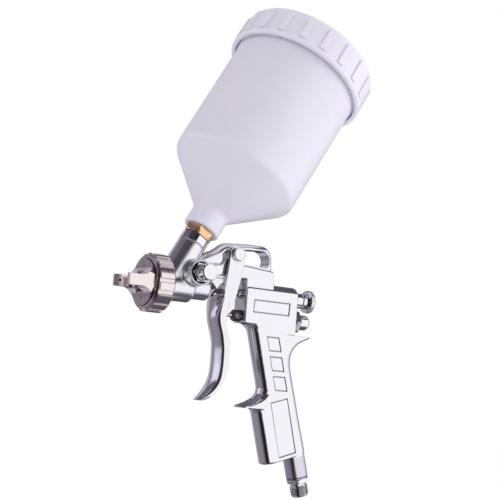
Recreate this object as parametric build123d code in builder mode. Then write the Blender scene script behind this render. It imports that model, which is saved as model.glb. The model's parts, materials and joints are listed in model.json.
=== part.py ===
from build123d import *
import math
import os

os.makedirs("parts", exist_ok=True)

# All sizes in mm. The parts are drawn with the needle axis along X at z = 0 and the spray
# leaving towards -X. They are exported moved, so that the origin lies on the inlet thread's axis,
# 0.8 mm inside its end.

# frame
RAKE = 16.0
rake = math.radians(RAKE)
STUB_X, STUB_Z = 76.3, -123.0
INLET_T = 18.5
THREAD_END_T = 19.3
INLET_X = STUB_X + INLET_T * math.sin(rake)
INLET_Z = STUB_Z - INLET_T * math.cos(rake)
CUP_TILT = 30.0
CUP_X = -43.8

# body
SIDE = 8.2
WEB = 7.5
HOOK = 6.0
HEAD_R = 10.8
FLANGE_R = 17.4
NOSE_R = 8.0
TUBE_R = 9.9
TUBE_LEN = 34.5
HOUSING_FRONT, HOUSING_REAR = 17.3, 62.3
CROWN_R, CROWN_Z = 9.3, -0.4
STUB_R = 8.0
HANDLE_END_T = -11.0
FAN_X, FAN_Z = -28.4, 9.2
PIVOT_X, PIVOT_Z = 5.2, 26.3
VALVE_Z = -15.8

# needle and fluid parts
NEEDLE_R = 1.75
SLEEVE_R = 5.5
KNOB_FLANGE_R = 8.35

# trigger
ARM_OUT, ARM_IN = 11.4, 8.9

# cup
CUP_R = 48.0
CUP_WALL = 1.8
LID_R = 53.0
SEAT_S = 47.2

here = Pos(-INLET_X, 0, -INLET_Z)
cup_place = here * Pos(CUP_X, 0, 0) * Rot(0, CUP_TILT, 0)
stub_place = here * Pos(STUB_X, 0, STUB_Z) * Rot(0, 180 - RAKE, 0)


def save(builder, name, place=here):
    solid = place * builder.part
    solid.label = name
    export_step(solid, "parts/" + name + ".step")


def x_plane(x):
    return Plane.YZ.offset(x)


def y_plane(y, x=0, z=0):
    return Plane(origin=(x, y, z), x_dir=(1, 0, 0), z_dir=(0, -1, 0))


def slot_points(x_front, x_rear):
    return (x_front + x_rear) / 2, x_rear - x_front


# gun body: handle with finger hook and thumb rest, rear housing, loop, bridge, head and fluid
# inlet in one casting
inlet_dir = Vector(math.sin(rake), 0, -math.cos(rake))
stub_origin = Vector(STUB_X, 0, STUB_Z)
stub_plane = Plane(origin=stub_origin, x_dir=(math.cos(rake), 0, math.sin(rake)), z_dir=inlet_dir)
tilt = math.radians(CUP_TILT)
tube_plane = Plane(origin=(CUP_X, 0, 0), x_dir=(math.cos(tilt), 0, -math.sin(tilt)),
                   z_dir=(math.sin(tilt), 0, math.cos(tilt)))

# grip sections: height, front, rear; each is a slot, so its front and back are rounded
grip_sections = (
    ((-18, 19.2, 61), (-20.4, 19.2, 61.6), (-21.6, 22.4, 62), (-24, 25.4, 62), (-26.2, 26.5, 62)),
    ((-26.2, 26.5, 79), (-27.2, 26.9, 79), (-29.4, 27.5, 73.6), (-31.6, 28.1, 69.4),
     (-35, 29.1, 65.6), (-38.8, 30.1, 63.5), (-43, 31.3, 62.5), (-49, 33, 62.8), (-60, 36.2, 66),
     (-66, 37.7, 67.8), (-70, 36.9, 69), (-73.6, 33.4, 70), (-76.4, 28, 70.9),
     (-78.3, 22.8, 71.4), (-79.3, 20, 71.7)),
    ((-79.3, 20, 71.7), (-80.4, 20.4, 72.1)),
    ((-80.4, 30.8, 72.1), (-81.2, 33.2, 72.3), (-83.5, 34.6, 73), (-128, 47.3, 86.9)),
)
with BuildPart() as handle:
    for sections in grip_sections:
        for z, x_front, x_rear in sections:
            centre, length = slot_points(x_front, x_rear)
            with BuildSketch(Plane.XY.offset(z)):
                with Locations((centre, 0)):
                    SlotOverall(length, 2 * SIDE)
        loft(ruled=True)
    with BuildSketch(stub_plane.offset(HANDLE_END_T)):
        Rectangle(90, 60)
    extrude(amount=40, mode=Mode.SUBTRACT)
    foot = handle.edges().group_by(lambda e: (e.center() - stub_origin).dot(inlet_dir))[-1]
    fillet(foot, radius=1.8)

with BuildPart() as housing:
    with BuildSketch(x_plane(HOUSING_FRONT)):
        with Locations((0, CROWN_Z)):
            Circle(CROWN_R)
        with Locations((0, -13)):
            Rectangle(2 * CROWN_R, 26)
        Rectangle(2 * SIDE, 60, mode=Mode.INTERSECT)
    extrude(amount=HOUSING_REAR - HOUSING_FRONT)
    with BuildSketch(Plane.XZ):
        Polygon((10, -40), (10, -20.4), (44, -20.4), (46, -40), align=None)
    extrude(amount=SIDE + 1, both=True, mode=Mode.SUBTRACT)
    fillet(housing.faces().sort_by(Axis.X)[0].edges(), radius=1.6)
    rear_edges = housing.faces().sort_by(Axis.X)[-1].edges().sort_by(Axis.Z)[1:]
    fillet(rear_edges, radius=1.0)

with BuildPart() as hook:
    with BuildSketch(Plane.XZ):
        with BuildLine():
            Polyline((41.2, 2), (41, 8), (39.4, 26.5))
            ThreePointArc((39.4, 26.5), (37.4, 32.6), (31, 35.8))
            Polyline((31, 35.8), (19, 35.8), (3, 34.6))
            Spline((3, 34.6), (-2.6, 33), (-8.3, 28.8), (-14, 26.2), (-17.8, 24.2), (-24, 22))
            Polyline((-24, 22), (-30, 18), (-22, 12), (18, 12), (18, 2), (41.2, 2))
        make_face()
    extrude(amount=HOOK, both=True)
    long_edges = hook.edges().filter_by(lambda e: abs(e.center().Y) > HOOK - 0.01)
    fillet(long_edges.filter_by(lambda e: e.center().Z > 5 and e.center().X > -20), radius=4.2)
    with BuildSketch(Plane.XZ):
        with BuildLine():
            Polyline((13.4, 20.6), (13.4, 31), (29.4, 32.2))
            Spline((29.4, 32.2), (35, 29.2), (36.4, 24.8), (34, 20.2))
            Polyline((34, 20.2), (13.4, 20.6))
        make_face()
    extrude(amount=HOOK + 1, both=True, mode=Mode.SUBTRACT)

with BuildPart() as web:
    with BuildSketch(Plane.XZ):
        Polygon((-30, 6), (-25, 17), (-13, 17.4), (-5.4, 18.4), (-1.6, 23), (-0.6, 30.4), (12.4, 31),
                (13.4, 19.8), (39.8, 18), (40.9, 8), (41, 2), (17.7, 2), (17.3, 10.3), (-7, 10.3),
                (-13.5, 6), align=None)
    extrude(amount=WEB, both=True)
    rim = web.edges().filter_by(lambda e: abs(e.center().Y) > WEB - 0.01)
    fillet(rim.filter_by(lambda e: e.center().Z > 9 and -14 < e.center().X < 45), radius=1.2)

recesses = [((24.2, -3.3), (55.8, -3.3), (55.3, -12.7), (23.7, -12.7)),
            ((44.2, -75.6), (58.8, -71.6), (69.6, -110.4), (55, -114.6))]
for x, z in ((43.9, -33.9), (47.6, -47.9), (51.5, -61.8)):
    recesses.append(((x - 6.9, z + 5.2), (x + 3.9, z + 5.2), (x + 6.9, z - 5.2), (x - 3.9, z - 5.2)))


def shrunk(outline, inset):
    centre_x = sum(x for x, z in outline) / 4
    centre_z = sum(z for x, z in outline) / 4
    half_x = max(x for x, z in outline) - centre_x
    half_z = max(z for x, z in outline) - centre_z
    return [(centre_x + (x - centre_x) * (1 - inset / half_x),
             centre_z + (z - centre_z) * (1 - inset / half_z)) for x, z in outline]


with BuildPart() as gun_body:
    with BuildSketch(Plane.XZ):
        with BuildLine():
            Polyline((-55.5, 0), (-55.5, FLANGE_R - 0.8), (-54.7, FLANGE_R), (-48.3, FLANGE_R))
            Spline((-48.3, FLANGE_R), (-46.6, 12.8), (-43, HEAD_R))
            Polyline((-43, HEAD_R), (-27.4, HEAD_R), (-26, 9.6), (-25.4, NOSE_R), (-13, NOSE_R),
                     (-12.4, NOSE_R - 0.6), (-12.4, 0), (-55.5, 0))
        make_face()
    revolve(axis=Axis.X)
    with BuildSketch(tube_plane):
        Circle(TUBE_R)
    extrude(amount=TUBE_LEN)
    with BuildSketch(y_plane(0, FAN_X, FAN_Z)):
        Circle(8.9)
    extrude(amount=20)
    with BuildSketch(y_plane(0, FAN_X, FAN_Z)):
        Circle(11.5)
    extrude(amount=9)
    flare = gun_body.edges().filter_by(GeomType.CIRCLE)
    flare = flare.filter_by(lambda e: abs(e.radius - 11.5) < 0.01 and abs(e.center().Y + 9) < 0.1)
    chamfer(flare, length=2.4)
    with BuildSketch(y_plane(8.4, PIVOT_X, PIVOT_Z)):
        Circle(6.4)
    extrude(amount=16.8)
    with BuildSketch(stub_plane.offset(-16)):
        Circle(STUB_R)
    extrude(amount=21)
    stub_rim = gun_body.faces().sort_by(Axis.Z)[0].edges()
    chamfer(stub_rim, length=0.6)
    add(handle.part)
    add(housing.part)
    add(hook.part)
    add(web.part)

    # fluid way: tip thread, chamber, packing bore and the tube from the cup
    for x, radius, length in ((-60, 5.2, 11), (-50, 4.0, 20), (-31, 3.3, 12), (-20, 4.4, 10)):
        with BuildSketch(x_plane(x)):
            Circle(radius)
        extrude(amount=length, mode=Mode.SUBTRACT)
    for s, radius, length in ((0, 4.6, 25), (23, 7.8, 14)):
        with BuildSketch(tube_plane.offset(s)):
            Circle(radius)
        extrude(amount=length, mode=Mode.SUBTRACT)
    with BuildSketch(x_plane(-56)):
        Circle(14.6)
        Circle(8.2, mode=Mode.SUBTRACT)
    extrude(amount=4.6, mode=Mode.SUBTRACT)

    # air ways: handle, valve chamber, channel over the gap, two holes to the head
    with BuildSketch(stub_plane.offset(-110)):
        Circle(3.4)
    extrude(amount=120, mode=Mode.SUBTRACT)
    with BuildSketch(stub_plane.offset(-6)):
        Circle(5.6)
    extrude(amount=20, mode=Mode.SUBTRACT)
    for x, radius, length in ((10, 3.4, 13), (22, 4.5, 10), (31, 6.0, 24), (54, 6.5, 10)):
        with BuildSketch(Plane(origin=(x, 0, VALVE_Z), x_dir=(0, 1, 0), z_dir=(1, 0, 0))):
            Circle(radius)
        extrude(amount=length, mode=Mode.SUBTRACT)
    with BuildSketch(Plane(origin=(24, 4.4, VALVE_Z), x_dir=(1, 0, 0), z_dir=(0, 0, 1))):
        Circle(1.8)
    extrude(amount=14.5 - VALVE_Z, mode=Mode.SUBTRACT)
    with BuildSketch(Plane(origin=(-21, 2, 14.5), x_dir=(0, 1, 0), z_dir=(1, 0, 0))):
        Circle(2.3)
    extrude(amount=47, mode=Mode.SUBTRACT)
    start = Vector(-19.5, 2, 14.5)
    for end in (Vector(FAN_X, -7.5, FAN_Z), Vector(-28.5, 7.5, 4.5)):
        step = end - start
        with BuildSketch(Plane(origin=start, z_dir=step)):
            Circle(1.6)
        extrude(amount=step.length, mode=Mode.SUBTRACT)
    for side in (-1, 1):
        with BuildSketch(Plane(origin=(-53, 7 * side, 5), x_dir=(0, 1, 0), z_dir=(1, 0, 0))):
            Circle(1.6)
        extrude(amount=25.5, mode=Mode.SUBTRACT)
    with BuildSketch(y_plane(-5.6, FAN_X, FAN_Z)):
        Circle(4.0)
    extrude(amount=20, mode=Mode.SUBTRACT)
    with BuildSketch(y_plane(-16.2, FAN_X, FAN_Z)):
        Circle(7.6)
    extrude(amount=5, mode=Mode.SUBTRACT)

    # needle way through the rear housing, and the pivot hole
    for x, radius, length in ((10, 2.9, 12), (20, 2.1, 12), (30, 4.6, 28), (56, 6.0, 10)):
        with BuildSketch(x_plane(x)):
            Circle(radius)
        extrude(amount=length, mode=Mode.SUBTRACT)
    with BuildSketch(y_plane(12, PIVOT_X, PIVOT_Z)):
        Circle(2.4)
    extrude(amount=24, mode=Mode.SUBTRACT)

    # blank recesses in both side faces, each with a fine groove round its edge
    for side in (-1, 1):
        for depth, inset in ((0.3, 0), (0.8, 0.75)):
            with BuildSketch(Plane.XZ.offset(-side * (SIDE - depth))):
                for outline in recesses:
                    Polygon(*outline, align=None)
                if inset:
                    for outline in recesses:
                        Polygon(*shrunk(outline, inset), align=None, mode=Mode.SUBTRACT)
            extrude(amount=-side * 3, mode=Mode.SUBTRACT)

save(gun_body, "gun_body")


# silver collar on top of the fluid inlet tube
with BuildPart() as inlet_collar:
    with BuildSketch(Plane.XZ):
        Polygon((7.8, TUBE_LEN), (9.4, TUBE_LEN), (TUBE_R, TUBE_LEN + 0.4), (TUBE_R, 40.2),
                (9.3, 40.8), (7.8, 40.8), align=None)
    revolve(axis=Axis.Z)
save(inlet_collar, "inlet_collar", cup_place)


# air inlet nipple: hexagon, neck and male thread
with BuildPart() as air_inlet_nipple:
    with BuildSketch(Plane.XY.offset(5.8)):
        RegularPolygon(15 / math.sqrt(3), 6)
    extrude(amount=3.2)
    with BuildSketch(Plane.XZ):
        Polygon((0, -5), (5.6, -5), (5.6, 5.8), (7.2, 5.8), (8.7, 6.6), (8.7, 8.2), (7.2, 9),
                (5.5, 9), (5.5, 11), (6.58, 11.4), (6.58, 18.6), (5.9, THREAD_END_T),
                (0, THREAD_END_T),
                align=None)
    revolve(axis=Axis.Z, mode=Mode.ADD)
    with BuildSketch(Plane.XY.offset(5.8)):
        Circle(12)
        RegularPolygon(15 / math.sqrt(3), 6, mode=Mode.SUBTRACT)
    extrude(amount=3.2, mode=Mode.SUBTRACT)
    with BuildSketch(Plane.XY.offset(-6)):
        Circle(4.0)
    extrude(amount=30, mode=Mode.SUBTRACT)
save(air_inlet_nipple, "air_inlet_nipple", stub_place)

with BuildPart() as inlet_washer:
    with BuildSketch(Plane.XY.offset(5.05)):
        Circle(7.9)
        Circle(5.65, mode=Mode.SUBTRACT)
    extrude(amount=0.7)
save(inlet_washer, "inlet_washer", stub_place)


# fluid tip, screwed into the head, with a bore for the needle's cone
with BuildPart() as fluid_tip:
    with BuildSketch(Plane.XZ):
        Polygon((-50.5, 0), (-50.5, 5.1), (-55.6, 5.1), (-55.6, 5.6), (-57.1, 5.6), (-57.1, 7.4),
                (-60.2, 7.4), (-60.2, 6), (-62.8, 4.2), (-64, 2.2), (-68.4, 2.0), (-68.4, 0),
                align=None)
    revolve(axis=Axis.X)
    with BuildSketch(x_plane(-60.2)):
        Circle(9)
        RegularPolygon(7.4, 6, mode=Mode.SUBTRACT)
    extrude(amount=3.1, mode=Mode.SUBTRACT)
    with BuildSketch(Plane.XZ):
        Polygon((-50, 0), (-50, 3.6), (-61, 3.6), (-66.6, 0.9), (-69, 0.9), (-69, 0), align=None)
    revolve(axis=Axis.X, mode=Mode.SUBTRACT)
save(fluid_tip, "fluid_tip")


# air baffle ring in front of the head
with BuildPart() as air_baffle:
    with BuildSketch(Plane.XZ):
        Polygon((-55.55, 5.7), (-57.05, 5.7), (-57.05, 16.2), (-55.55, 16.2), align=None)
    revolve(axis=Axis.X)
    with BuildSketch(x_plane(-58)):
        with PolarLocations(11.2, 10):
            Circle(1.0)
    extrude(amount=4, mode=Mode.SUBTRACT)
save(air_baffle, "air_baffle")


# air cap with two horns, and the knurled ring that holds it
with BuildPart() as air_cap:
    with BuildSketch(Plane.XZ):
        with BuildLine():
            Polyline((-57.2, 0), (-57.2, 17.2), (-59.4, 17.2), (-59.4, 15.8), (-61.6, 15.8))
            Spline((-61.6, 15.8), (-63.6, 12.8), (-65.2, 9.2), (-66.6, 6.4), (-67.6, 5.6))
            Polyline((-67.6, 5.6), (-67.6, 0), (-57.2, 0))
        make_face()
    revolve(axis=Axis.X)
    for side in (-1, 1):
        with BuildSketch(Plane.XY):
            with BuildLine():
                Polyline((-60, side * 4), (-60, side * 15.2), (-61.6, side * 15.2))
                Spline((-61.6, side * 15.2), (-66, side * 14.4), (-72, side * 12.8),
                       (-78.4, side * 12))
                Polyline((-78.4, side * 12), (-79, side * 11.2), (-79, side * 9.4),
                         (-76, side * 7.6))
                Spline((-76, side * 7.6), (-70.6, side * 6.9), (-66.8, side * 4))
                Line((-66.8, side * 4), (-60, side * 4))
            make_face()
        extrude(amount=12, both=True)
    with BuildSketch(Plane.XZ):
        with BuildLine():
            Polyline((-80, 0), (-80, 3.4), (-79, 3.9), (-71, 3.9))
            Spline((-71, 3.9), (-67, 4.7), (-64.2, 7), (-62.4, 11.6))
            Polyline((-62.4, 11.6), (-61.6, 17.3), (-57, 17.3), (-57, 0), (-80, 0))
        make_face()
        mirror(about=Plane.XZ)
    extrude(amount=20, both=True, mode=Mode.INTERSECT)
    with BuildSketch(Plane.XZ):
        Polygon((-57.2, 0), (-57.2, 17.2), (-59.4, 17.2), (-59.4, 15.8), (-80, 15.8), (-80, 0),
                align=None)
    revolve(axis=Axis.X, mode=Mode.INTERSECT)
    for side in (-1, 1):
        with BuildSketch(x_plane(-84)):
            with Locations((0, side * 11.4)):
                Circle(6.6)
        extrude(amount=20.4, mode=Mode.SUBTRACT)
        with BuildSketch(x_plane(-84)):
            with Locations((0, side * 6.6)):
                Circle(3.1)
        extrude(amount=18.4, mode=Mode.SUBTRACT)
        with BuildSketch(x_plane(-70)):
            with Locations((0, side * 10.8)):
                Circle(0.8)
        extrude(amount=14, mode=Mode.SUBTRACT)
        with BuildSketch(Plane(origin=(-58, side * 10.4, 0), x_dir=(0, 0, 1), z_dir=(-1, 0, 0))):
            Circle(1.3)
        extrude(amount=17, mode=Mode.SUBTRACT)
        with BuildSketch(Plane(origin=(-74.4, side * 10.4, 0), x_dir=(0, 0, 1),
                               z_dir=(-0.45, -side, 0))):
            Circle(0.8)
        extrude(amount=5, mode=Mode.SUBTRACT)
    with BuildSketch(Plane.XZ):
        Polygon((-57, 0), (-57, 14), (-60.4, 14), (-61.6, 8.4), (-64.9, 5.4), (-64.9, 0), align=None)
    revolve(axis=Axis.X, mode=Mode.SUBTRACT)
    with BuildSketch(x_plane(-70)):
        Circle(2.6)
    extrude(amount=10, mode=Mode.SUBTRACT)
save(air_cap, "air_cap")

with BuildPart() as air_cap_ring:
    with BuildSketch(Plane.XZ):
        Polygon((-47, 17.75), (-47, 18.3), (-48.4, 19.3), (-59.6, 19.3), (-61.2, 18.2),
                (-61.2, 16.3), (-59.8, 16.3), (-59.8, 17.75), align=None)
    revolve(axis=Axis.X)
    with BuildSketch(x_plane(-59.2)):
        with PolarLocations(18.9, 15, start_angle=21.6):
            Rectangle(2.8, 5.2)
    extrude(amount=10.6)
    with BuildSketch(x_plane(-62)):
        Circle(30)
        Circle(20.2, mode=Mode.SUBTRACT)
    extrude(amount=16, mode=Mode.SUBTRACT)
save(air_cap_ring, "air_cap_ring")


# needle packing and its nut in the back of the head
with BuildPart() as needle_packing:
    with BuildSketch(x_plane(-29)):
        Circle(3.25)
        Circle(2.08, mode=Mode.SUBTRACT)
    extrude(amount=8.4)
save(needle_packing, "needle_packing")

with BuildPart() as needle_packing_nut:
    with BuildSketch(x_plane(-19.8)):
        Circle(4.3)
    extrude(amount=7.6)
    with BuildSketch(x_plane(-12.3)):
        RegularPolygon(5.6, 6)
    extrude(amount=4.6)
    with BuildSketch(x_plane(-22)):
        Circle(2.1)
    extrude(amount=20, mode=Mode.SUBTRACT)
save(needle_packing_nut, "needle_packing_nut")


# fluid needle with its cone, and the collar that the trigger pushes
with BuildPart() as fluid_needle:
    with BuildSketch(Plane.XZ):
        Polygon((-68.3, 0), (-68.3, 0.45), (-66.4, 0.55), (-60.6, NEEDLE_R), (55.6, NEEDLE_R),
                (56, NEEDLE_R - 0.4), (56, 0), align=None)
    revolve(axis=Axis.X)
save(fluid_needle, "fluid_needle")

with BuildPart() as needle_collar:
    with BuildSketch(Plane.XZ):
        Polygon((0.4, NEEDLE_R), (0.4, 5.2), (1.2, 6), (4.4, 6), (5, 5.4), (5, NEEDLE_R), align=None)
    revolve(axis=Axis.X)
save(needle_collar, "needle_collar")

with BuildPart() as needle_spring_seat:
    with BuildSketch(Plane.XZ):
        Polygon((31, NEEDLE_R), (31, 4.0), (33.4, 4.0), (33.4, 2.9), (35.4, 2.9), (35.4, NEEDLE_R),
                align=None)
    revolve(axis=Axis.X)
save(needle_spring_seat, "needle_spring_seat")

with BuildPart() as needle_bushing:
    with BuildSketch(Plane.XZ):
        Polygon((14.2, 2.1), (14.2, 2.8), (14.6, 3.3), (17.3, 3.3), (17.3, 2.85), (21.8, 2.85),
                (21.8, 2.1), align=None)
    revolve(axis=Axis.X)
save(needle_bushing, "needle_bushing")


def spring(start, end, radius, wire, turns, axis_z):
    with BuildPart() as coil:
        with BuildLine() as path:
            Helix((end - start) / turns, end - start, radius, center=(start, 0, axis_z),
                  direction=(1, 0, 0))
        with BuildSketch(Plane(origin=path.line @ 0, z_dir=path.line % 0)):
            Circle(wire)
        sweep()
    return coil


save(spring(34.1, 55.3, 3.5, 0.42, 8, 0), "needle_spring")
save(spring(37.8, 63.1, 3.9, 0.45, 9, VALVE_Z), "air_valve_spring")


# fluid control: sleeve screwed in the housing, knob with its screw
with BuildPart() as fluid_guide_sleeve:
    with BuildSketch(Plane.XZ):
        Polygon((56.05, 3.2), (56.05, 5.95), (62.35, 5.95), (62.35, SLEEVE_R), (69.1, SLEEVE_R),
                (69.5, SLEEVE_R - 0.4), (69.5, 3.2), align=None)
    revolve(axis=Axis.X)
save(fluid_guide_sleeve, "fluid_guide_sleeve")

with BuildPart() as fluid_screw:
    with BuildSketch(x_plane(63.4)):
        Circle(2.85)
    extrude(amount=8.6)
save(fluid_screw, "fluid_screw")

with BuildPart() as fluid_knob:
    with BuildSketch(Plane.XZ):
        Polygon((69.8, 0), (69.8, SLEEVE_R - 0.4), (70.2, SLEEVE_R), (74.4, SLEEVE_R), (74.4, 7.6),
                (75.2, KNOB_FLANGE_R), (78.2, KNOB_FLANGE_R), (78.9, 7.6), (78.9, 4.6), (78.2, 4),
                (78.2, 0), align=None)
    revolve(axis=Axis.X)
    with BuildSketch(x_plane(74)):
        with PolarLocations(KNOB_FLANGE_R + 0.25, 28):
            Circle(0.5)
    extrude(amount=6, mode=Mode.SUBTRACT)
    with BuildSketch(x_plane(69)):
        Circle(2.9)
    extrude(amount=3.2, mode=Mode.SUBTRACT)
save(fluid_knob, "fluid_knob")


# air valve: seat, stem with disc, packing nut, rear cap with its washer
valve_here = here * Pos(0, 0, VALVE_Z)

with BuildPart() as air_valve_seat:
    with BuildSketch(x_plane(31.1)):
        Circle(5.95)
        Circle(3.0, mode=Mode.SUBTRACT)
    extrude(amount=2.4)
save(air_valve_seat, "air_valve_seat", valve_here)

with BuildPart() as air_valve_stem:
    with BuildSketch(Plane.XZ):
        Polygon((0.4, 0), (0.4, 0.9), (1, 1.5), (35.6, 1.5), (35.6, 4.6), (37.2, 4.6), (37.2, 2.6),
                (39.4, 2.6), (39.4, 0), align=None)
    revolve(axis=Axis.X)
save(air_valve_stem, "air_valve_stem", valve_here)

with BuildPart() as air_valve_seal:
    with BuildSketch(x_plane(33.8)):
        Circle(4.8)
        Circle(1.5, mode=Mode.SUBTRACT)
    extrude(amount=1.8)
save(air_valve_seal, "air_valve_seal", valve_here)

with BuildPart() as air_valve_packing_nut:
    with BuildSketch(Plane.XZ):
        Polygon((11.6, 1.82), (11.6, 3.6), (12.1, 4.2), (17.3, 4.2), (17.3, 3.35), (21.8, 3.35),
                (21.8, 1.82), align=None)
    revolve(axis=Axis.X)
    with BuildSketch(x_plane(11)):
        with PolarLocations(4.4, 6):
            Rectangle(1.6, 1.6)
    extrude(amount=4.6, mode=Mode.SUBTRACT)
save(air_valve_packing_nut, "air_valve_packing_nut", valve_here)

with BuildPart() as air_valve_cap:
    with BuildSketch(x_plane(63.1)):
        RegularPolygon(15.4 / math.sqrt(3), 6)
    extrude(amount=3.6)
    with BuildSketch(Plane.XZ):
        with BuildLine():
            Polyline((66.7, 0), (66.7, 5.5), (74.2, 5.5))
            ThreePointArc((74.2, 5.5), (76.8, 4.3), (77.9, 1.8))
            Polyline((77.9, 1.8), (77.9, 0), (66.7, 0))
        make_face()
    revolve(axis=Axis.X)
    with BuildSketch(x_plane(56)):
        Circle(6.45)
    extrude(amount=7.1)
    with BuildSketch(x_plane(55)):
        Circle(4.9)
    extrude(amount=8.6, mode=Mode.SUBTRACT)
save(air_valve_cap, "air_valve_cap", valve_here)

with BuildPart() as air_valve_washer:
    with BuildSketch(x_plane(62.35)):
        Circle(7.6)
        Circle(6.5, mode=Mode.SUBTRACT)
    extrude(amount=0.7)
save(air_valve_washer, "air_valve_washer", valve_here)


# fan control on the left side: valve body, stem and knob, drawn along Z and laid along -Y
fan_place = here * Pos(FAN_X, 0, FAN_Z) * Rot(90, 0, 0)

with BuildPart() as fan_valve_body:
    with BuildSketch(Plane.XY.offset(16.3)):
        RegularPolygon(12.4 / math.sqrt(3), 6)
    extrude(amount=5.4)
    with BuildSketch(Plane.XY.offset(10)):
        Circle(3.95)
    extrude(amount=6.4)
    with BuildSketch(Plane.XY.offset(9)):
        Circle(2.1)
    extrude(amount=14, mode=Mode.SUBTRACT)
save(fan_valve_body, "fan_valve_body", fan_place)

with BuildPart() as fan_stem:
    with BuildSketch(Plane.XZ):
        Polygon((0, 6.4), (0.6, 6.6), (1.75, 9.4), (1.75, 26), (0, 26), align=None)
    revolve(axis=Axis.Z)
save(fan_stem, "fan_stem", fan_place)

with BuildPart() as fan_knob:
    with BuildSketch(Plane.XZ):
        Polygon((0, 22.1), (5.2, 22.1), (5.78, 22.7), (5.78, 31.1), (5.2, 31.7), (0, 31.7),
                align=None)
    revolve(axis=Axis.Z)
    with BuildSketch(Plane.XY.offset(21)):
        Circle(1.8)
    extrude(amount=5.2, mode=Mode.SUBTRACT)
save(fan_knob, "fan_knob", fan_place)


# trigger: two arms, and a curved lever with a rounded front and a hollow back
# each lever section: height, front, rear, half width, how far the front bulges
lever_outside = (
    (-3.5, -3.5, 0.6, 11.4, 0.8), (-8, -5, 0.8, 11.2, 1.6), (-13, -6.3, 1, 10.2, 2.9),
    (-17, -6.9, 1, 9.4, 4.2), (-22, -6.4, 1.2, 9, 5), (-30.5, -3.6, 3.6, 9, 5),
    (-40, -1.7, 5.6, 9, 5), (-50, -1.5, 5.6, 9, 5), (-58, -2.1, 4.6, 8.9, 5),
    (-66, -5, 1.4, 8.5, 5), (-71.6, -9, -2.4, 7.6, 4.8), (-75.4, -12.6, -7, 6, 4),
    (-77.2, -14.6, -10.6, 4.2, 2.6))
lever_inside = (
    (-21, -2.6, 8, 5.6, 2), (-30.5, -1.2, 9, 6.7, 3.4), (-40, 0.7, 10, 6.7, 3.4),
    (-50, 0.9, 10, 6.7, 3.4), (-58, 0.3, 9, 6.6, 3.4), (-66, -2.4, 7, 6.2, 3.2),
    (-70.6, -4.4, 4, 5, 2))


def lever_loft(sections):
    with BuildPart() as piece:
        for z, front, rear, half, bulge in sections:
            centre = front + bulge
            with BuildSketch(Plane.XY.offset(z)):
                with BuildLine():
                    EllipticalCenterArc((centre, 0), bulge, half, start_angle=90, arc_size=180)
                    Polyline((centre, -half), (rear, -half), (rear, half), (centre, half))
                make_face()
        loft()
    return piece


def front_outline(table):
    right = [(width, z) for z, width in table]
    return right + [(-width, z) for z, width in reversed(table)]


lever_skin = lever_loft(lever_outside)
lever_hollow = lever_loft(lever_inside)

with BuildPart() as trigger_pocket:
    with BuildSketch(Plane.XZ):
        Polygon((-12, -3.5), (0, -3.5), (0, -20), (30, -20), (30, 40), (-12, 40), align=None)
    extrude(amount=20, both=True)
    with BuildSketch(Plane.YZ):
        Polygon(*front_outline(((42, ARM_IN), (-6, ARM_IN), (-14, 7.8), (-22, 6.6))), align=None)
    extrude(amount=40, both=True, mode=Mode.INTERSECT)

with BuildPart() as trigger:
    with BuildSketch(Plane.XZ):
        Polygon((0.2, 31), (-0.8, 21.5), (-2.8, 3.8), (-3.4, -3.4), (-2.9, -14), (0.2, -19),
                (3.2, -14), (6.6, -2.3), (9.2, 8.6), (11, 17.3), (11.9, 25), (11.4, 31), align=None)
    extrude(amount=ARM_OUT, both=True)
    with BuildSketch(Plane.YZ):
        Polygon(*front_outline(((34, ARM_OUT), (-6, ARM_OUT), (-14, 9.9), (-20, 8.8))), align=None)
    extrude(amount=30, both=True, mode=Mode.INTERSECT)
    add(lever_skin.part)
    add(trigger_pocket.part, mode=Mode.SUBTRACT)
    add(lever_hollow.part, mode=Mode.SUBTRACT)
    with BuildSketch(Plane.XZ):
        with Locations((PIVOT_X, PIVOT_Z)):
            Circle(2.7)
    extrude(amount=20, both=True, mode=Mode.SUBTRACT)
    with BuildSketch(Plane.XZ):
        Polygon((-20, 27), (-20, 40), (30, 40), (30, 27), align=None)
        with Locations((PIVOT_X + 0.5, PIVOT_Z - 0.6)):
            Circle(6.4, mode=Mode.SUBTRACT)
        Polygon((-0.3, 20), (11.3, 20), (10, 27), (0.6, 27), align=None, mode=Mode.SUBTRACT)
    extrude(amount=20, both=True, mode=Mode.SUBTRACT)
save(trigger, "trigger")

with BuildPart() as pivot_pin:
    with BuildSketch(Plane.XY.offset(-11.6)):
        Circle(2.35)
    extrude(amount=23.4)
    with BuildSketch(Plane.XY.offset(11.75)):
        Circle(4.6)
    extrude(amount=2.6)
    chamfer(pivot_pin.faces().sort_by(Axis.Z)[-1].edges(), length=0.5)
    with BuildSketch(Plane.XY.offset(-13)):
        Circle(1.45)
    extrude(amount=6, mode=Mode.SUBTRACT)
pin_place = here * Pos(PIVOT_X, 0, PIVOT_Z) * Rot(90, 0, 0)
save(pivot_pin, "pivot_pin", pin_place)

with BuildPart() as pivot_screw:
    with BuildSketch(Plane.XY.offset(11.75)):
        Circle(4.4)
    extrude(amount=2.2)
    with BuildSketch(Plane.XY.offset(7.5)):
        Circle(1.4)
    extrude(amount=4.3)
    chamfer(pivot_screw.faces().sort_by(Axis.Z)[-1].edges(), length=0.5)
    with BuildSketch(Plane.XY.offset(13.2)):
        Rectangle(9, 1.1)
    extrude(amount=2, mode=Mode.SUBTRACT)
save(pivot_screw, "pivot_screw", here * Pos(PIVOT_X, 0, PIVOT_Z) * Rot(-90, 0, 0))


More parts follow.
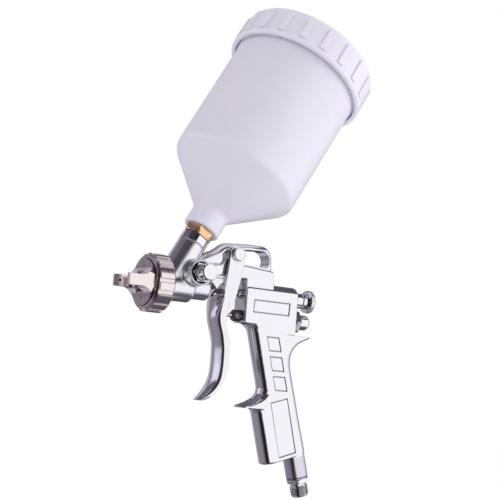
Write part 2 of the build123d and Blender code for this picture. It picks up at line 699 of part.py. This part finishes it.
# cup connector, cup, strainer and lid, drawn upright on the cup's own axis
with BuildPart() as cup_connector:
    with BuildSketch(Plane.XY.offset(41.0)):
        RegularPolygon(19 / math.sqrt(3), 6)
    extrude(amount=SEAT_S - 41.0)
    with BuildSketch(Plane.XY.offset(41.0)):
        Circle(9.6)
    extrude(amount=6.2, taper=-20, mode=Mode.INTERSECT)
    with BuildSketch(Plane.XY.offset(24.6)):
        Circle(7.45)
    extrude(amount=16.5)
    with BuildSketch(Plane.XY.offset(SEAT_S - 0.1)):
        Circle(8.0)
    extrude(amount=13.4)
    with BuildSketch(Plane.XY.offset(20)):
        Circle(5.2)
    extrude(amount=45, mode=Mode.SUBTRACT)
save(cup_connector, "cup_connector", cup_place)

with BuildPart() as paint_cup:
    with BuildSketch(Plane.XZ):
        Polygon((8.02, SEAT_S + 0.02), (12.4, SEAT_S + 0.02), (13.2, SEAT_S + 0.9), (13.2, 60.5),
                (14.2, 62.6), (46, 94), (47.4, 96.2), (CUP_R - 0.4, 98.5), (CUP_R + 0.4, 186),
                (CUP_R + 0.4, 189), (CUP_R + 1.6, 189.6), (CUP_R + 1.6, 206), (CUP_R - 1.4, 206),
                (CUP_R - 1.4, 189), (CUP_R - 2.2, 98.5), (45, 96.2), (12.2, 64), (8.02, 62),
                align=None)
    revolve(axis=Axis.Z)
save(paint_cup, "paint_cup", cup_place)

with BuildPart() as cup_filter:
    with BuildSketch(Plane.XZ):
        Polygon((3.4, 48), (4.3, 47.8), (4.9, 60.6), (7.6, 60.6), (7.6, 61.8), (4.2, 61.8),
                (3.5, 49), (0, 49), (0, 48), align=None)
    revolve(axis=Axis.Z)
    with BuildSketch(Plane.XY.offset(50)):
        with PolarLocations(4.4, 8):
            Rectangle(3, 1.0)
    extrude(amount=9, mode=Mode.SUBTRACT)
save(cup_filter, "cup_filter", cup_place)

with BuildPart() as cup_lid:
    with BuildSketch(Plane.XZ):
        with BuildLine():
            Polyline((0, 206.4), (50.2, 206.4), (50.2, 188.2), (LID_R - 0.4, 188.2),
                     (LID_R + 0.6, 189.2), (LID_R + 0.6, 191), (LID_R, 191.6), (LID_R - 0.4, 210))
            ThreePointArc((LID_R - 0.4, 210), (LID_R - 1.4, 212.6), (LID_R - 3.8, 213.6))
            Polyline((LID_R - 3.8, 213.6), (LID_R - 8, 213.6), (LID_R - 9, 209.4), (0, 209.4),
                     (0, 206.4))
        make_face()
    revolve(axis=Axis.Z)
    with BuildSketch(Plane.XY.offset(192.2)):
        with PolarLocations(LID_R, 20):
            Rectangle(1.8, 5)
    extrude(amount=17)
    with BuildSketch(Plane.XY.offset(204)):
        with Locations((28, 0)):
            Circle(1.2)
    extrude(amount=8, mode=Mode.SUBTRACT)
save(cup_lid, "cup_lid", cup_place)
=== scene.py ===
import json
import math

import bpy
from mathutils import Matrix, Vector


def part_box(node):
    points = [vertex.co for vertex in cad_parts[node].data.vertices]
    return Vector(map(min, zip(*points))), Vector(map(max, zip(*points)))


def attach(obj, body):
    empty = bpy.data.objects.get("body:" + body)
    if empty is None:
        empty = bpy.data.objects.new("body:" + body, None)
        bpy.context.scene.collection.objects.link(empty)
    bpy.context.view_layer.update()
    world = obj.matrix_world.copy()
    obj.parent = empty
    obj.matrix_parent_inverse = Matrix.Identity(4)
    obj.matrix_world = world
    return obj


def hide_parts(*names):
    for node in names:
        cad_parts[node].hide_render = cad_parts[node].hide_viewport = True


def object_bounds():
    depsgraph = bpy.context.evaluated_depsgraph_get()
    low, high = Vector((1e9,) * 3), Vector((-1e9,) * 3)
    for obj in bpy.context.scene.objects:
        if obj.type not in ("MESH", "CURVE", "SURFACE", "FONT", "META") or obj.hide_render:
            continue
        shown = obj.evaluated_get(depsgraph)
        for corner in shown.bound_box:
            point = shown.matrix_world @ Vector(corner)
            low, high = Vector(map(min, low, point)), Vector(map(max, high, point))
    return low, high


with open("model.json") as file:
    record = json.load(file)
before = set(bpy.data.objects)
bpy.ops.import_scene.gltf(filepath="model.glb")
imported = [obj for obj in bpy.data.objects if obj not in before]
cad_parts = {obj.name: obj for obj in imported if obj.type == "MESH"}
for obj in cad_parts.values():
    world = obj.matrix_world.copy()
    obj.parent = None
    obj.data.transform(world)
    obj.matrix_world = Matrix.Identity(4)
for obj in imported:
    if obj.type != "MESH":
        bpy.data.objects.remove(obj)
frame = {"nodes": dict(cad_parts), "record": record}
nodes = frame["nodes"]
scene = bpy.context.scene
cad_low, cad_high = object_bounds()

# sizes and places in metres
EDGE = 0.00035  # how far the renderer rounds a sharp edge
HEAD_EDGE, GRIP_EDGE = 0.0032, 0.0005
HEAD_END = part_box("pivot_pin")[0].x - 0.004
HEAD_START = HEAD_END - 0.008
FOOT_END, FOOT_START = -0.0290, -0.0285  # along the inlet axis, where the grip's foot ends


# ---------------------------------------------------------------- camera
AZIMUTH, ELEVATION, ROLL = -33.24, -6.79, 4.19
DISTANCE = 0.8134
LENS = 82.77
collar_low, collar_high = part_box("needle_collar")
AIM = (collar_low + collar_high) / 2 + Vector((0.01106, -0.01335, 0.03045))

cam_data = bpy.data.cameras.new("camera")
cam_data.sensor_width = 36
cam_data.lens = LENS
cam = bpy.data.objects.new("camera", cam_data)
scene.collection.objects.link(cam)
scene.camera = cam
a, e, r = (math.radians(v) for v in (AZIMUTH, ELEVATION, ROLL))
back = Vector((math.sin(a) * math.cos(e), -math.cos(a) * math.cos(e), math.sin(e)))
level = Vector((math.cos(a), math.sin(a), 0))
rise = back.cross(level)
right = math.cos(r) * level + math.sin(r) * rise
up = back.cross(right)
cam.matrix_world = Matrix.Translation(AIM + back * DISTANCE) @ Matrix(
    (right, up, back)).transposed().to_4x4()


# ---------------------------------------------------------------- studio
# Only reflections see the softboxes; every other ray meets an even white room.
def node(tree, kind, **settings):
    made = tree.nodes.new("ShaderNode" + kind)
    for name, value in settings.items():
        setattr(made, name, value)
    return made


def ramp(tree, stops, interpolation="LINEAR"):
    made = node(tree, "ValToRGB")
    made.color_ramp.interpolation = interpolation
    bar = made.color_ramp.elements
    while len(bar) < len(stops):
        bar.new(0.5)
    for element, (place, colour) in zip(bar, stops):
        element.position = place
        element.color = (*colour, 1)
    return made


world = bpy.data.worlds.new("studio")
scene.world = world
world.use_nodes = True
wt = world.node_tree
wt.nodes.clear()
where = node(wt, "TexCoord")
split = node(wt, "SeparateXYZ")
wt.links.new(where.outputs["Generated"], split.inputs[0])
turn = node(wt, "Math", operation="ARCTAN2")
wt.links.new(split.outputs["Y"], turn.inputs[0])
wt.links.new(split.outputs["X"], turn.inputs[1])
part = node(wt, "MapRange")
part.inputs["From Min"].default_value = -math.pi
part.inputs["From Max"].default_value = math.pi
wt.links.new(turn.outputs[0], part.inputs["Value"])
WHITE = (1.06, 1.05, 1.09)
BOX_FADE = 0.035  # softness of the softbox's upper edge


def tone(value):
    """Grey with the slight lavender cast of the studio."""
    return (value, 0.93 * value, 1.12 * value)


def place_at(azimuth):
    return ((azimuth + 180) % 360) / 360


def level_at(elevation):
    return (math.sin(math.radians(elevation)) + 1) / 2


def stops_at(where_at, *pairs):
    return sorted((where_at(place), shade) for place, shade in pairs)


def mixed(kind, one, two):
    made = node(wt, "Mix", data_type="RGBA", blend_type=kind)
    made.inputs["Factor"].default_value = 1
    wt.links.new(one, made.inputs["A"])
    wt.links.new(two, made.inputs["B"])
    return made.outputs["Result"]


def by_azimuth(*pairs):
    made = ramp(wt, stops_at(place_at, *pairs))
    wt.links.new(part.outputs[0], made.inputs[0])
    return made.outputs[0]


level_range = node(wt, "MapRange")
level_range.inputs["From Min"].default_value = -1
level_range.inputs["From Max"].default_value = 1
wt.links.new(split.outputs["Z"], level_range.inputs["Value"])


def by_elevation(*pairs):
    made = ramp(wt, stops_at(level_at, *pairs))
    wt.links.new(level_range.outputs[0], made.inputs[0])
    return made.outputs[0]


OFF, ON = (0, 0, 0), (1, 1, 1)
box_top = by_azimuth(*((place, (level_at(height),) * 3) for place, height in (
    (-179.9, 30), (-130, 30), (-122, 6), (-115, 8), (-47, 35), (60, 36), (179.9, 30))))
box_fade = node(wt, "Math", operation="ADD")
box_fade.inputs[1].default_value = BOX_FADE
wt.links.new(box_top, box_fade.inputs[0])
below_top = node(wt, "MapRange")
below_top.inputs["To Min"].default_value = 1
below_top.inputs["To Max"].default_value = 0
wt.links.new(level_range.outputs[0], below_top.inputs["Value"])
wt.links.new(box_top, below_top.inputs["From Min"])
wt.links.new(box_fade.outputs[0], below_top.inputs["From Max"])
side_box = mixed("MULTIPLY", mixed("MULTIPLY", by_azimuth(
    (-179.9, tone(0.24)), (-168, tone(0.15)), (-157, tone(0.02)), (-126, tone(0.01)),
    (-117, WHITE), (-22, WHITE), (2, tone(0.62)), (24, tone(0.26)), (48, tone(0.085)),
    (72, tone(0.085)), (82, tone(0.5)), (104, tone(0.5)), (111, tone(0.16)),
    (118, tone(0.26)), (144, tone(0.30)), (179.9, tone(0.24))),
    by_elevation((-90, OFF), (-45, OFF), (-39, ON), (89, ON), (90, ON))),
    below_top.outputs[0])
front_box = mixed("MULTIPLY", by_azimuth(
    (-179.9, tone(0.6)), (-173, tone(0.45)), (-158, OFF), (122, OFF), (134, tone(0.5)),
    (156, tone(0.66)), (179.9, tone(0.6))),
    by_elevation((-90, OFF), (-8, OFF), (3, ON), (27, ON), (34, OFF), (90, OFF)))
ceiling = mixed("MULTIPLY", by_azimuth(
    (-179.9, tone(1.5)), (-158, tone(0.5)), (-105, tone(0.5)), (-90, tone(1)), (60, tone(1)),
    (75, tone(1.7)), (179.9, tone(1.5))),
    by_elevation((-90, tone(0.12)), (-46, tone(0.11)), (-40, OFF), (26, OFF), (34, tone(0.07)),
                 (60, tone(0.10)), (90, tone(0.24))))
around = mixed("ADD", mixed("ADD", side_box, front_box), ceiling)
seen = node(wt, "LightPath")
room = node(wt, "Background")
wt.links.new(around, room.inputs["Color"])
paper = node(wt, "Background")
paper.inputs["Color"].default_value = (1, 1, 1, 1)
paper.inputs["Strength"].default_value = 1.0
choose = node(wt, "MixShader")
wt.links.new(seen.outputs["Is Glossy Ray"], choose.inputs[0])
wt.links.new(paper.outputs[0], choose.inputs[1])
wt.links.new(room.outputs[0], choose.inputs[2])
out = node(wt, "OutputWorld")
wt.links.new(choose.outputs[0], out.inputs["Surface"])
scene.view_settings.view_transform = "Standard"


def area_light(name, place, target, size, power, colour=(1, 1, 1)):
    data = bpy.data.lights.new(name, "AREA")
    data.shape = "RECTANGLE"
    data.size, data.size_y = size
    data.energy = power
    data.color = colour
    light = bpy.data.objects.new(name, data)
    scene.collection.objects.link(light)
    light.location = place
    light.rotation_euler = (Vector(target) - Vector(place)).to_track_quat("-Z", "Y").to_euler()
    light.visible_glossy = False
    return light


middle = (cad_low + cad_high) / 2
area_light("key", (1.2, -1.0, 0.5), middle, (0.7, 1.0), 9)


# ---------------------------------------------------------------- materials
def base_material(name, colour, metallic, roughness):
    mat = bpy.data.materials.new(name)
    mat.use_nodes = True
    tree = mat.node_tree
    shader = tree.nodes["Principled BSDF"]
    shader.inputs["Base Color"].default_value = (*colour, 1)
    shader.inputs["Metallic"].default_value = metallic
    shader.inputs["Roughness"].default_value = roughness
    return mat, tree, shader


def noise(tree, scale, detail=3, rough=0.5, stretch=(1, 1, 1)):
    place = node(tree, "TexCoord")
    shape = node(tree, "Mapping")
    shape.inputs["Scale"].default_value = stretch
    tree.links.new(place.outputs["Object"], shape.inputs["Vector"])
    made = node(tree, "TexNoise")
    made.inputs["Scale"].default_value = scale
    made.inputs["Detail"].default_value = detail
    made.inputs["Roughness"].default_value = rough
    tree.links.new(shape.outputs[0], made.inputs["Vector"])
    return made


def soften(tree, shader, source, strength, depth, edge=EDGE, wide=None):
    bump = node(tree, "Bump")
    bump.inputs["Strength"].default_value = strength
    bump.inputs["Distance"].default_value = depth
    tree.links.new(source, bump.inputs["Height"])
    if edge:
        round_edge = node(tree, "Bevel", samples=6)
        round_edge.inputs["Radius"].default_value = edge
        if wide:
            tree.links.new(wide, round_edge.inputs["Radius"])
        tree.links.new(round_edge.outputs[0], bump.inputs["Normal"])
    tree.links.new(bump.outputs[0], shader.inputs["Normal"])


def vary_rough(tree, shader, source, low, high):
    spread = node(tree, "MapRange")
    spread.inputs["To Min"].default_value = low
    spread.inputs["To Max"].default_value = high
    tree.links.new(source, spread.inputs["Value"])
    tree.links.new(spread.outputs[0], shader.inputs["Roughness"])


def vary_colour(tree, shader, source, dark, light):
    mix = ramp(tree, ((0.3, dark), (0.7, light)))
    tree.links.new(source, mix.inputs[0])
    tree.links.new(mix.outputs[0], shader.inputs["Base Color"])


def paint_crease_shade(tree, shader, reach=0.0018, deepest=0.12):
    """Painted shade in corners and grooves: darkens the colour where the surface is closed in,
    standing in for the shadow there.
    """
    colour = shader.inputs["Base Color"].links[0].from_socket
    near = node(tree, "AmbientOcclusion", samples=8)
    near.inputs["Distance"].default_value = reach
    fall = ramp(tree, ((0.30, (deepest,) * 3), (0.62, (0.62,) * 3), (0.9, (1, 1, 1))))
    tree.links.new(near.outputs["AO"], fall.inputs[0])
    both = node(tree, "Mix", data_type="RGBA", blend_type="MULTIPLY")
    both.inputs["Factor"].default_value = 1
    tree.links.new(colour, both.inputs["A"])
    tree.links.new(fall.outputs[0], both.inputs["B"])
    tree.links.new(both.outputs["Result"], shader.inputs["Base Color"])


def plated(name, colour, rough, wave=0.25, edge=EDGE):
    mat, tree, shader = base_material(name, colour, 1, rough)
    cloud = noise(tree, 90, 2)
    fine = noise(tree, 900, 4)
    vary_rough(tree, shader, cloud.outputs[0], rough * 0.75, rough * 1.35)
    dark = tuple(0.93 * c for c in colour)
    vary_colour(tree, shader, fine.outputs[0], dark, colour)
    # painted shade: ambient occlusion darkens the colour in creases, grooves and thread roots
    paint_crease_shade(tree, shader)
    soften(tree, shader, cloud.outputs[0], wave, 0.0004, edge)
    return mat


def turned(name, colour, rough):
    mat, tree, shader = base_material(name, colour, 1, rough)
    lines = noise(tree, 1400, 2, stretch=(1, 0.04, 0.04))
    vary_rough(tree, shader, lines.outputs[0], rough * 0.7, rough * 1.4)
    vary_colour(tree, shader, lines.outputs[0], tuple(0.85 * c for c in colour), colour)
    soften(tree, shader, lines.outputs[0], 0.15, 0.0001, 0.0002)
    return mat


def moulded(name, colour, rough, subsurface):
    mat, tree, shader = base_material(name, colour, 0, rough)
    cloud = noise(tree, 60, 3)
    fine = noise(tree, 2500, 2)
    vary_rough(tree, shader, cloud.outputs[0], rough * 0.85, rough * 1.2)
    vary_colour(tree, shader, cloud.outputs[0], tuple(0.97 * c for c in colour), colour)
    soften(tree, shader, fine.outputs[0], 0.08, 0.0001, 0.0006)
    shader.inputs["Subsurface Weight"].default_value = subsurface
    shader.inputs["Subsurface Radius"].default_value = (0.9, 0.85, 1.0)
    shader.inputs["Subsurface Scale"].default_value = 0.006
    shader.inputs["IOR"].default_value = 1.49
    return mat


def cast_chrome():
    """Polished casting: wide soft corners round the head, satin below the grip's foot."""
    mat, tree, shader = base_material("chrome_cast", (0.87, 0.865, 0.885), 1, 0.12)
    cloud = noise(tree, 70, 2)
    fine = noise(tree, 900, 4)
    spot = node(tree, "TexCoord")
    parts = node(tree, "SeparateXYZ")
    tree.links.new(spot.outputs["Object"], parts.inputs[0])
    wide = node(tree, "MapRange")
    wide.inputs["From Min"].default_value = HEAD_START
    wide.inputs["From Max"].default_value = HEAD_END
    wide.inputs["To Min"].default_value = HEAD_EDGE
    wide.inputs["To Max"].default_value = GRIP_EDGE
    tree.links.new(parts.outputs["X"], wide.inputs["Value"])
    along = node(tree, "VectorMath", operation="DOT_PRODUCT")
    along.inputs[1].default_value = down
    tree.links.new(spot.outputs["Object"], along.inputs[0])
    foot = node(tree, "MapRange")
    foot.inputs["From Min"].default_value = FOOT_END
    foot.inputs["From Max"].default_value = FOOT_START
    tree.links.new(along.outputs["Value"], foot.inputs["Value"])
    polish = node(tree, "MapRange")
    polish.inputs["To Min"].default_value = 0.10
    polish.inputs["To Max"].default_value = 0.17
    tree.links.new(cloud.outputs[0], polish.inputs["Value"])
    satin = node(tree, "Mix")
    tree.links.new(foot.outputs[0], satin.inputs["Factor"])
    tree.links.new(polish.outputs[0], satin.inputs["A"])
    satin.inputs["B"].default_value = 0.24
    head_rough = node(tree, "MapRange")
    head_rough.inputs["From Min"].default_value = HEAD_START
    head_rough.inputs["From Max"].default_value = HEAD_END
    head_rough.inputs["To Min"].default_value = 0.10
    head_rough.inputs["To Max"].default_value = 0
    tree.links.new(parts.outputs["X"], head_rough.inputs["Value"])
    rougher = node(tree, "Math", operation="ADD")
    tree.links.new(satin.outputs["Result"], rougher.inputs[0])
    tree.links.new(head_rough.outputs[0], rougher.inputs[1])
    tree.links.new(rougher.outputs[0], shader.inputs["Roughness"])
    bright = ramp(tree, ((0.3, (0.845, 0.84, 0.86)), (0.7, (0.87, 0.865, 0.885))))
    tree.links.new(fine.outputs[0], bright.inputs[0])
    tint = node(tree, "Mix", data_type="RGBA")
    tree.links.new(foot.outputs[0], tint.inputs["Factor"])
    tree.links.new(bright.outputs[0], tint.inputs["A"])
    tint.inputs["B"].default_value = (0.70, 0.68, 0.76, 1)
    tree.links.new(tint.outputs["Result"], shader.inputs["Base Color"])
    # painted shade: ambient occlusion darkens the colour in creases and grooves of the casting
    paint_crease_shade(tree, shader)
    soften(tree, shader, cloud.outputs[0], 0.10, 0.0003, EDGE, wide.outputs[0])
    return mat


RAKE = math.radians(16)
down = Vector((math.sin(RAKE), 0, -math.cos(RAKE)))  # the inlet's axis
chrome_cast = cast_chrome()
chrome_body = plated("chrome_body", (0.87, 0.865, 0.885), 0.12, 0.2, 0.0006)
chrome_fine = plated("chrome_fine", (0.88, 0.88, 0.90), 0.07, 0.1, 0.0002)
nickel = plated("nickel", (0.88, 0.79, 0.77), 0.13, 0.12, 0.0004)
steel = turned("steel", (0.62, 0.61, 0.62), 0.25)
dark_steel = turned("dark_steel", (0.20, 0.19, 0.21), 0.3)
brass = plated("brass", (0.97, 0.66, 0.36), 0.30, 0.15, 0.0003)
seal = moulded("seal", (0.85, 0.85, 0.82), 0.5, 0.1)
rubber = moulded("rubber", (0.03, 0.03, 0.03), 0.6, 0)
cup_plastic = moulded("cup_plastic", (0.665, 0.64, 0.75), 0.33, 0.4)
lid_plastic = moulded("lid_plastic", (0.69, 0.665, 0.77), 0.35, 0.3)
filter_plastic = moulded("filter_plastic", (0.88, 0.88, 0.86), 0.4, 0.2)

finish_of = {
    "cast_chrome": chrome_body, "bright_chrome": chrome_fine, "nickel": nickel,
    "steel": steel, "tip_steel": steel, "dark_steel": dark_steel, "spring_steel": steel,
    "brass": brass, "seal_plastic": seal, "rubber": rubber, "cup_plastic": cup_plastic,
    "lid_plastic": lid_plastic, "filter_plastic": filter_plastic,
}
slot_of = {p["node"]: p["material_slot"] for p in frame["record"]["subparts"]}
for name, obj in nodes.items():
    obj.data.materials.clear()
    obj.data.materials.append(finish_of[slot_of[name]])
nodes["gun_body"].data.materials[0] = chrome_cast


# ---------------------------------------------------------------- inlet nipple with a cut thread
def add_object(name, mesh, material, body):
    obj = bpy.data.objects.new(name, mesh)
    scene.collection.objects.link(obj)
    mesh.materials.append(material)
    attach(obj, body)
    return obj


def lathe(name, profile, steps, place, radius_at=None, smooth_angle=35):
    """Turn (radius, height) points about Z; radius_at may change a radius with the angle."""
    mesh = bpy.data.meshes.new(name)
    points, faces = [], []
    for radius, height in profile:
        for i in range(steps):
            angle = 2 * math.pi * i / steps
            r = radius_at(radius, height, angle) if radius_at else radius
            points.append(place @ Vector((r * math.cos(angle), r * math.sin(angle), height)))
    for row in range(len(profile) - 1):
        for i in range(steps):
            j = (i + 1) % steps
            one, two = row * steps, (row + 1) * steps
            faces.append((one + i, one + j, two + j, two + i))
    mesh.from_pydata(points, [], faces)
    mesh.update()
    mesh.shade_smooth()
    mesh.set_sharp_from_angle(angle=math.radians(smooth_angle))
    return mesh


side = Vector((0, 1, 0))
stub_place = Matrix((side.cross(down), side, down)).transposed().to_4x4()
PITCH, CREST, ROOT = 0.001337, 0.00658, 0.00578  # quarter-inch pipe thread
THREAD_TOP, THREAD_END = -0.0075, 0.0004
THREAD_ROWS = 84
HEX_TOP, HEX_END, HALF_ACROSS_FLATS = -0.01272, -0.00948, 0.0075
ORIGIN_AT = 18.5  # mm along the inlet axis


def thread_radius(radius, height, angle):
    if not THREAD_TOP <= height <= THREAD_END:
        return radius
    turns = (height - THREAD_TOP) / PITCH - angle / (2 * math.pi)
    wave = abs((turns % 1) * 2 - 1)
    cut = ROOT + (CREST - ROOT) * min(max((wave - 0.1) / 0.8, 0), 1)
    start = min((height - THREAD_TOP) / PITCH, 1)
    run_out = min((THREAD_END - height) / (0.6 * PITCH), 1)
    return ROOT - 0.0002 + (cut - ROOT + 0.0002) * min(start * 2, 1) * (0.3 + 0.7 * run_out)


def nipple_radius(radius, height, angle):
    if HEX_TOP < height < HEX_END:
        flat = HALF_ACROSS_FLATS / math.cos(angle % (math.pi / 3) - math.pi / 6)
        return min(flat, radius)
    return thread_radius(radius, height, angle) if radius > ROOT - 0.0001 else radius


def outline_metres(points):
    """Points as (radius, distance down the inlet axis) in mm."""
    return [(radius / 1000, (along - ORIGIN_AT) / 1000) for radius, along in points]


def nipple_piece():
    profile = outline_metres([
        (4.0, 5.85), (5.6, 5.85), (7.3, 5.85), (7.9, 6.1), (8.7, 6.6), (8.7, 8.2),
        (7.9, 8.75), (7.3, 9), (5.5, 9), (5.4, 10.9)])
    for i in range(THREAD_ROWS + 1):
        profile.append((CREST, THREAD_TOP + (THREAD_END - THREAD_TOP) * i / THREAD_ROWS))
    profile += outline_metres([(5.5, 19.3), (4.0, 19.3), (4.0, 5.85)])
    mesh = lathe("nipple_thread", profile, 96, stub_place, nipple_radius)
    piece = add_object("nipple_thread", mesh, chrome_fine, "gun")
    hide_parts("air_inlet_nipple")


nipple_piece()


# ---------------------------------------------------------------- floor
def floor_piece():
    mesh = bpy.data.meshes.new("floor")
    reach, low = 6.0, cad_low.z - 0.35
    mesh.from_pydata([(-reach, -reach, low), (reach, -reach, low), (reach, reach, low),
                      (-reach, reach, low)], [], [(0, 1, 2, 3)])
    obj = bpy.data.objects.new("floor", mesh)
    scene.collection.objects.link(obj)
    mat, tree, shader = base_material("floor", (0.93, 0.93, 0.93), 0, 0.8)
    shader.inputs["Emission Color"].default_value = (1, 1, 1, 1)
    shader.inputs["Emission Strength"].default_value = 0.15
    obj.data.materials.append(mat)
    obj.visible_glossy = False


floor_piece()
